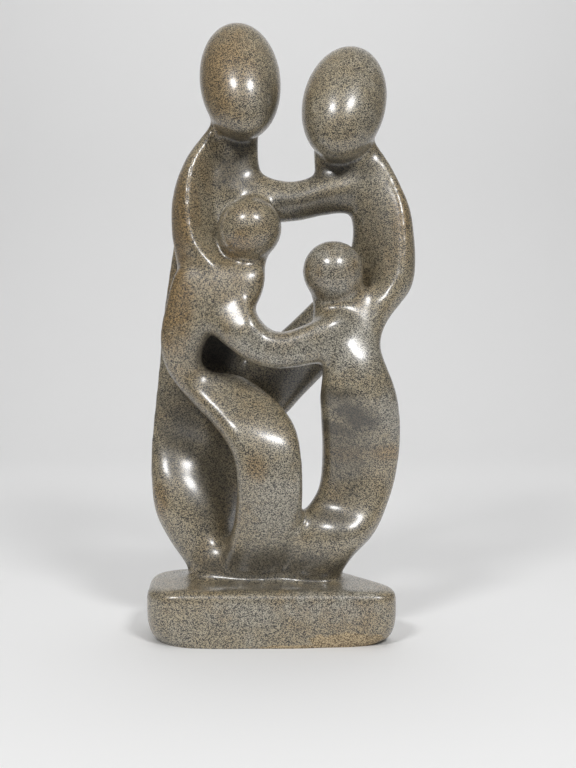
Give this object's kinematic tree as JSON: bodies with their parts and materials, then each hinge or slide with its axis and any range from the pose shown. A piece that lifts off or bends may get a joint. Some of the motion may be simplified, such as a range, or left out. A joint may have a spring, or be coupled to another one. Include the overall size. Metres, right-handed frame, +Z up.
{
  "type": "family group sculpture",
  "caption": "Abstract family group carved with its base from polished stone: smooth egg-shaped heads above bodies that join in open rings.",
  "frame": {"origin": "middle of the flat underside, which rests on the table", "axes": "+Z up along the figures, +Y from the faces' side to the back, +X towards the viewer's right"},
  "size_m": [0.1936, 0.09, 0.4428],
  "materials": {
    "polished_stone": "polished, finely speckled grey-brown serpentine with ochre patches"
  },
  "bodies": {
    "root": {"family_group": "polished_stone"}
  },
  "joints": []
}
